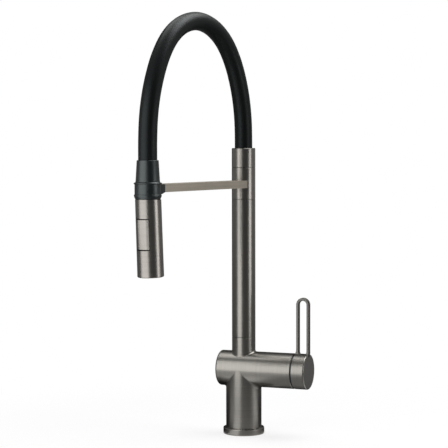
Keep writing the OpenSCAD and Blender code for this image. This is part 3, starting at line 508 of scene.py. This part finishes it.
# the outlines' points are a radius and a height; the cone's foot flares out in a hollow quarter
# ellipse
FOOT_R, FOOT_Z, FLARE_WIDTH, FLARE_HEIGHT = 0.01545, 0.326, 0.0013, 0.0024
t = np.linspace(0, np.pi / 2, 9)
flare = np.stack([FOOT_R - FLARE_WIDTH * np.sin(t), FOOT_Z + FLARE_HEIGHT * (1 - np.cos(t))], 1)
cone = turned("cone_skin", np.vstack([[[0.01225, FOOT_Z]], flare, rounded(
    [[0.01285, 0.352], [0.01145, 0.352], [0.01145, 0.3383], [0.01225, 0.3383]],
    [0.0006, 0.0004, 0.0001, 0.0001])]), HEAD, UP, black)
collar = turned("collar_skin", rounded(
    [[0.0141, 0.3068], [0.0148, 0.3068], [0.0162, 0.3102], [0.0162, 0.3122], [0.01545, 0.3122],
     [0.01545, 0.3242], [0.0165, 0.3242], [0.0165, FOOT_Z], [0.01215, FOOT_Z],
     [0.01215, 0.3232], [0.0141, 0.3232]],
    [0.0002, 0.0003, 0.0008, 0.0006, 0.0002, 0.0002, 0.0006, 0.0010, 0.0002, 0.0001, 0.0002]),
    HEAD, UP, black)
for piece, node in ((cone, "hose_cone"), (collar, "dock_collar")):
    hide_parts(node)
    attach(piece, "spray_head")

# Spray body: a tapered steel tube in the same coat, cut level where it meets the dock collar.
# Its axis leans three degrees out from the collar's, and crosses it at AXES_MEET_Z.
LEAN = math.radians(3)
AXES_MEET_Z, SHELL_TOP = 0.318, 0.0116


def round_spray(f):
    """Hairlines round the spray body's leaning axis."""
    out = f.along(OUT) - REACH
    side = f.along(SIDE)
    height = f.z - AXES_MEET_Z
    axial = height * math.cos(LEAN) + out * math.sin(LEAN)
    across = out * math.cos(LEAN) - height * math.sin(LEAN)
    return hairlines(f, axial, (across ** 2 + side ** 2) ** 0.5, out + side * SKEW)


coat_spray = brushed("coat_spray", round_spray, (0.214, 0.204, 0.190))
dress(coat_spray, "spray_shell")


def on_spray(across, side, down):
    """Points at `across` out from the spray body's leaning axis, `side` to its side and `down`
    below its top face, which lies SHELL_TOP below the point where the axes meet."""
    axial = -SHELL_TOP - down
    out = np.asarray(across * math.cos(LEAN) + axial * math.sin(LEAN))[..., None]
    high = np.asarray(axial * math.cos(LEAN) - across * math.sin(LEAN))[..., None]
    return HEAD + AXES_MEET_Z * UP + out * OUT + high * UP + np.asarray(side)[..., None] * SIDE


# Rocker button: a steel plate with a slightly crowned face and a bevel down each long side, in
# the same coat. It sits in a window of the spray body on a hub that rocks on the pin, and its
# nose reaches into the spool.
# BACK, SHOULDER and FACE are distances out from the spray body's axis.
BUTTON_DOWN, HALF_HEIGHT, HALF_WIDTH, FACE_HALF_WIDTH = 0.040, 0.0175, 0.0086, 0.0056
BACK, SHOULDER, FACE, CROWN = 0.0102, 0.0134, 0.0153, 0.0005
face = np.linspace(FACE_HALF_WIDTH, -FACE_HALF_WIDTH, 9)
face = np.stack([FACE - CROWN * (face / FACE_HALF_WIDTH) ** 2, face], 1)
section = rounded(np.vstack([[[BACK, -HALF_WIDTH], [BACK, HALF_WIDTH], [SHOULDER, HALF_WIDTH]],
                             face, [[SHOULDER, -HALF_WIDTH]]]),
                  [0.0001, 0.0001, 0.0004, 0.0012] + [0.002] * 7 + [0.0012, 0.0004], steps=7)
# the plate's ends are rounded too: towards them the section is drawn in round its heart
EDGE = 0.0005
quarter = np.linspace(0, np.pi / 2, 7)
ease, inset = 1 - np.cos(quarter), EDGE * (1 - np.sin(quarter))
down = np.concatenate([[0], EDGE * ease, 2 * HALF_HEIGHT - EDGE * ease[::-1], [2 * HALF_HEIGHT]])
inset = np.concatenate([[EDGE], inset, inset[::-1], [EDGE]])[:, None]
heart = np.array([0.0127, 0.0])
shrink = 1 - inset[..., None] / np.array([heart[0] - BACK, HALF_WIDTH])
shrink[[0, -1]] = 0
plate = heart + (section - heart) * shrink
down = BUTTON_DOWN - HALF_HEIGHT + down[:, None]
button = grid_mesh("button_plate", on_spray(plate[..., 0], plate[..., 1], down),
                   wrap=(False, True), finish=coat_spray)
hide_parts("rocker_button")
lean_out = on_spray(1, 0, 0) - on_spray(0, 0, 0)
pin = on_spray(0.007, 0, BUTTON_DOWN)
HUB_R, HUB_HALF, PIN_R = 0.0028, 0.004, 0.0011
hub = turned("button_hub", rounded([[HUB_R, -HUB_HALF], [HUB_R, HUB_HALF], [PIN_R, HUB_HALF],
                                    [PIN_R, -HUB_HALF]], [0.0002] * 4), pin, SIDE, coat_spray, 32)
# the nose is a round shank with a ball at its end; its points are a radius and a distance out
# from the pin
BALL_R, BALL_OUT, SHANK_R, SHANK_OUT = 0.0013, -0.012, 0.001, 0.0035
ball = np.radians(np.linspace(3, 129.7, 14))
ball = np.stack([BALL_R * np.sin(ball), BALL_OUT - BALL_R * np.cos(ball)], 1)
nose = turned("button_nose", np.vstack([ball, [[SHANK_R, SHANK_OUT], [0.00001, SHANK_OUT]]]),
              pin, lean_out, coat_spray, 32)
for piece in (button, hub, nose):
    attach(piece, "rocker")

# Nozzle tips: soft rubber, one for each jet, pushed through the nozzle plate in two rings. They
# stand a millimetre out of it and stay inside the spray body's foot. RINGS gives each ring's
# count and radius. A tip's outline is a radius and a distance below the spray body's top.
RINGS = ((8, 0.0082), (14, 0.0114))
ring_of = np.concatenate([np.full(count, radius) for count, radius in RINGS])
clock = 2 * np.pi * np.concatenate([np.arange(count) / count for count, radius in RINGS])
tip = rounded([[0.0004, 0.0887], [0.0009, 0.0887], [0.0007, 0.09], [0.0004, 0.09]],
              [0.0001, 0.0001, 0.0002, 0.0001], steps=4)
around = np.linspace(0, 2 * np.pi, 24, endpoint=False)
tips = on_spray((ring_of * np.cos(clock))[:, None, None] + tip[:, :1] * np.cos(around),
                (ring_of * np.sin(clock))[:, None, None] + tip[:, :1] * np.sin(around),
                tip[:, 1:] + 0 * around + 0 * ring_of[:, None, None])
tips = grid_mesh("nozzle_tips", tips, finish=moulded("tip_rubber", (0.02, 0.02, 0.02), 0.6),
                 flip=True)
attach(tips, "spray_head")

# Working parts inside: turned brass fittings, moulded rubber seals, the valve's ceramic discs,
# white plastic carriers and a bare steel magnet, pin and keeper ring. The spray's black core and
# nozzle plate are moulded, and the grub screws blackened.
def plain_metal(name, colour, roughness):
    """Turned bright metal: tool marks in its gloss and a dull bloom."""
    f = Finish(name, colour, 1.0, roughness)
    marks = f.noise(f.vector(f.x * 300, f.y * 300, f.z * 3000), 1, 2.0)
    bloom = f.noise(f.place, 60, 3.0)
    tone = bloom.mixed(shade(colour, 0.8), shade(colour, 1.1))
    return f.feed(Base_Color=tone, Roughness=roughness - 0.05 + marks * 0.1 + bloom * 0.1,
                  Normal=f.bump(marks, 0.00003)).material


dress(plain_metal("turned_brass", (0.62, 0.42, 0.16), 0.32), "inlet_block", "cartridge_nut",
      "riser_spigot", "riser_plug", "hose_nipple", "hose_end_fitting", "diverter_spool")
dress(plain_metal("bare_steel", (0.5, 0.5, 0.5), 0.3), "dock_magnet", "keeper_ring", "rocker_pin")
dress(moulded("seal_rubber", (0.015, 0.015, 0.015), 0.7), "deck_gasket", "inlet_seals",
      "cartridge_seals", "spigot_seals", "nipple_seal", "hose_end_seal", "core_seals",
      "spool_seals")
dress(moulded("blackened_screw", (0.03, 0.03, 0.032), 0.35), "neck_screw", "lever_screw",
      "dock_screw", "spray_core", "nozzle_plate")
dress(moulded("white_plastic", (0.7, 0.7, 0.67), 0.45), "cartridge_base", "cartridge_housing",
      "cartridge_stem", "check_valve", "stream_former")
dress(moulded("ceramic", (0.85, 0.84, 0.8), 0.2), "fixed_disc", "moving_disc")

# Studio: a white floor that fades into a white background, a tall soft box close by on the left,
# a strip on the right, soft boxes overhead and high on the right, and flags and cards that only
# shiny surfaces see.
def across_view(u, v, z=0.0):
    """A point u metres right of the column and v metres toward the camera, at height z."""
    c, s = math.cos(math.radians(CAMERA_YAW)), math.sin(math.radians(CAMERA_YAW))
    return np.array([c * u + s * v, s * u - c * v, z])


def area_lamp(name, size, x_axis, z_axis, middle, radiance):
    """An oblong lamp that shines against its z axis, unseen by the camera."""
    data = bpy.data.lights.new(name, "AREA")
    data.shape = "RECTANGLE"
    data.size, data.size_y = size
    data.energy = radiance * data.size * data.size_y * math.pi
    lamp = bpy.data.objects.new(name, data)
    lamp.matrix_world = placed(x_axis, np.cross(z_axis, x_axis), z_axis, middle)
    lamp.visible_camera = False
    bpy.context.collection.objects.link(lamp)


def upright_box(name, a, b, top, radiance):
    """A soft box that stands on the floor between two points and faces the column."""
    width = float(np.linalg.norm(b - a))
    across, middle = (b - a) / width, (a + b) / 2 + UP * top / 2
    away = np.cross(across, UP)
    if away @ middle < 0:
        across, away = -across, -away
    area_lamp(name, (width, top), across, away, middle, radiance)


def overhead_box(name, at, size, height, radiance):
    """A soft box that hangs level over a point and faces down."""
    area_lamp(name, size, np.array([1.0, 0, 0]), UP, np.array([*at[:2], height]), radiance)


upright_box("soft_box_left", across_view(-0.40, 0.225), across_view(-0.165, 0.425), top=0.56,
            radiance=2.35)
upright_box("strip_right", across_view(1.21, 0.83), across_view(0.95, 0.24), top=0.4,
            radiance=3.8)
overhead_box("soft_box_top", (-0.25, 0.05), (0.36, 0.55), height=1.0, radiance=2.6)
overhead_box("soft_box_high_right", across_view(0.46, -0.12), (0.75, 0.75), height=1.15,
             radiance=6.4)


def cloth(name, glow):
    """A flag's or card's cloth: it reflects nothing, and glows with the light it catches."""
    return Finish(name, (0, 0, 0), 0.0, 1.0, **{
        "Specular IOR Level": 0.0, "Emission Strength": 1.0,
        "Emission Color": (glow, glow, glow, 1)}).material


def flag(name, edges, glow):
    """A flag between two lines of points, which only shiny surfaces see."""
    piece = grid_mesh(name, np.array(edges), wrap=(False, False),
                      finish=cloth(name + "_cloth", glow))
    piece.visible_camera = piece.visible_diffuse = piece.visible_shadow = False
    piece.visible_transmission = False
    return piece


def round_about(start, stop, radius, z):
    """Points on an arc about the column, by degrees from the camera's side to the right."""
    t = np.radians(np.linspace(start, stop, 40))
    return [across_view(radius * math.sin(a), radius * math.cos(a), z) for a in t]


ROOM_R, ROOM_FOOT, ROOM_TOP, ROOF_HALF = 2.7, -0.2, 3.0, 3.0
CARD_Z, CARDS_R = 0.0004, 0.36
flags = [flag(f"flag_{side}",
              [round_about(start, stop, ROOM_R, z) for z in (ROOM_FOOT, ROOM_TOP)], glow)
         for side, start, stop, glow in (("front", -28, 58, 0.08), ("right", 58, 156, 0.36),
                                         ("back", 156, 220, 0.03), ("left", 220, 332, 0.32))]
rim = (-ROOF_HALF, ROOF_HALF)
flags.append(flag("flag_roof", [[[x, y, ROOM_TOP] for x in rim] for y in rim], 0.4))
for side, start, stop, glow in (("front", -95, 95, 0.15), ("back", 95, 265, 0.17)):
    flags.append(flag(f"flag_table_{side}",
                      [round_about(start, stop, r, CARD_Z) for r in (CARDS_R, ROOM_R)], glow))
# cards on the table about the base ring, near and far: light where the lamps mirror in it
for k, (start, stop, near, far) in enumerate([
        (-95, -62, 0.15, 0.64), (-62, -21, 1.36, 0.94), (-21, 20, 0.44, 0.42),
        (20, 64, 0.45, 0.34), (64, 95, 0.3, 1.18), (95, 150, 0.07, 0.05), (150, 265, 0.01, 0.03)]):
    for place, radii, glow in (("near", (0.03, 0.1), near), ("far", (0.1, CARDS_R), far)):
        flags.append(flag(f"card_{place}_{k + 1}",
                          [round_about(start, stop, r, CARD_Z) for r in radii], glow))


def looked_at(wire):
    """1 for rays from the camera, mirrored and refracted ones, and 0 for those that light."""
    camera_ray, glossy, through = (wire.node("LightPath", {}, out=f"Is {kind} Ray")
                                   for kind in ("Camera", "Glossy", "Transmission"))
    return wire.maths("MAXIMUM", wire.maths("MAXIMUM", camera_ray, glossy), through)


FLOOR_HALF, FLOOR_Z = 4.0, -0.0002
rim = (-FLOOR_HALF, FLOOR_HALF)
floor = grid_mesh("floor", np.array([[[x, y, FLOOR_Z] for x in rim] for y in rim]),
                  wrap=(False, False))
white = bpy.data.materials.new("floor_white")
white.use_nodes = True
tree = white.node_tree
paint = tree.nodes["Principled BSDF"]
paint.inputs["Base Color"].default_value = (0.93, 0.93, 0.93, 1)
paint.inputs["Roughness"].default_value = 0.9
paint.inputs["Specular IOR Level"].default_value = 0.1
wire = Wire(tree, None)
distance = wire.node("VectorMath", {0: wire.node("TexCoord", {}, out="Object")},
                     {"operation": "LENGTH"}, out="Value")
lit = wire.node("Emission", {"Color": (1, 1, 1, 1), "Strength": 1.0})
# near the tap a fifth of the floor's look is its own, with the shadow, and none far away
mixed = wire.node("MixShader", {0: looked_at(wire) * (distance.step(0.1, 0.5) * 0.2 + 0.8),
                                1: Wire(tree, paint.outputs[0]), 2: lit})
tree.links.new(mixed.socket, tree.nodes["Material Output"].inputs["Surface"])
floor.data.materials.append(white)

world = bpy.data.worlds.new("studio")
bpy.context.scene.world = world
world.use_nodes = True
tree = world.node_tree
back = tree.nodes["Background"]
back.inputs["Color"].default_value = (1, 1, 1, 1)
# white where it is looked at, and a fifth as bright where it lights
tree.links.new((looked_at(Wire(tree, None)) * 0.8 + 0.2).socket, back.inputs["Strength"])
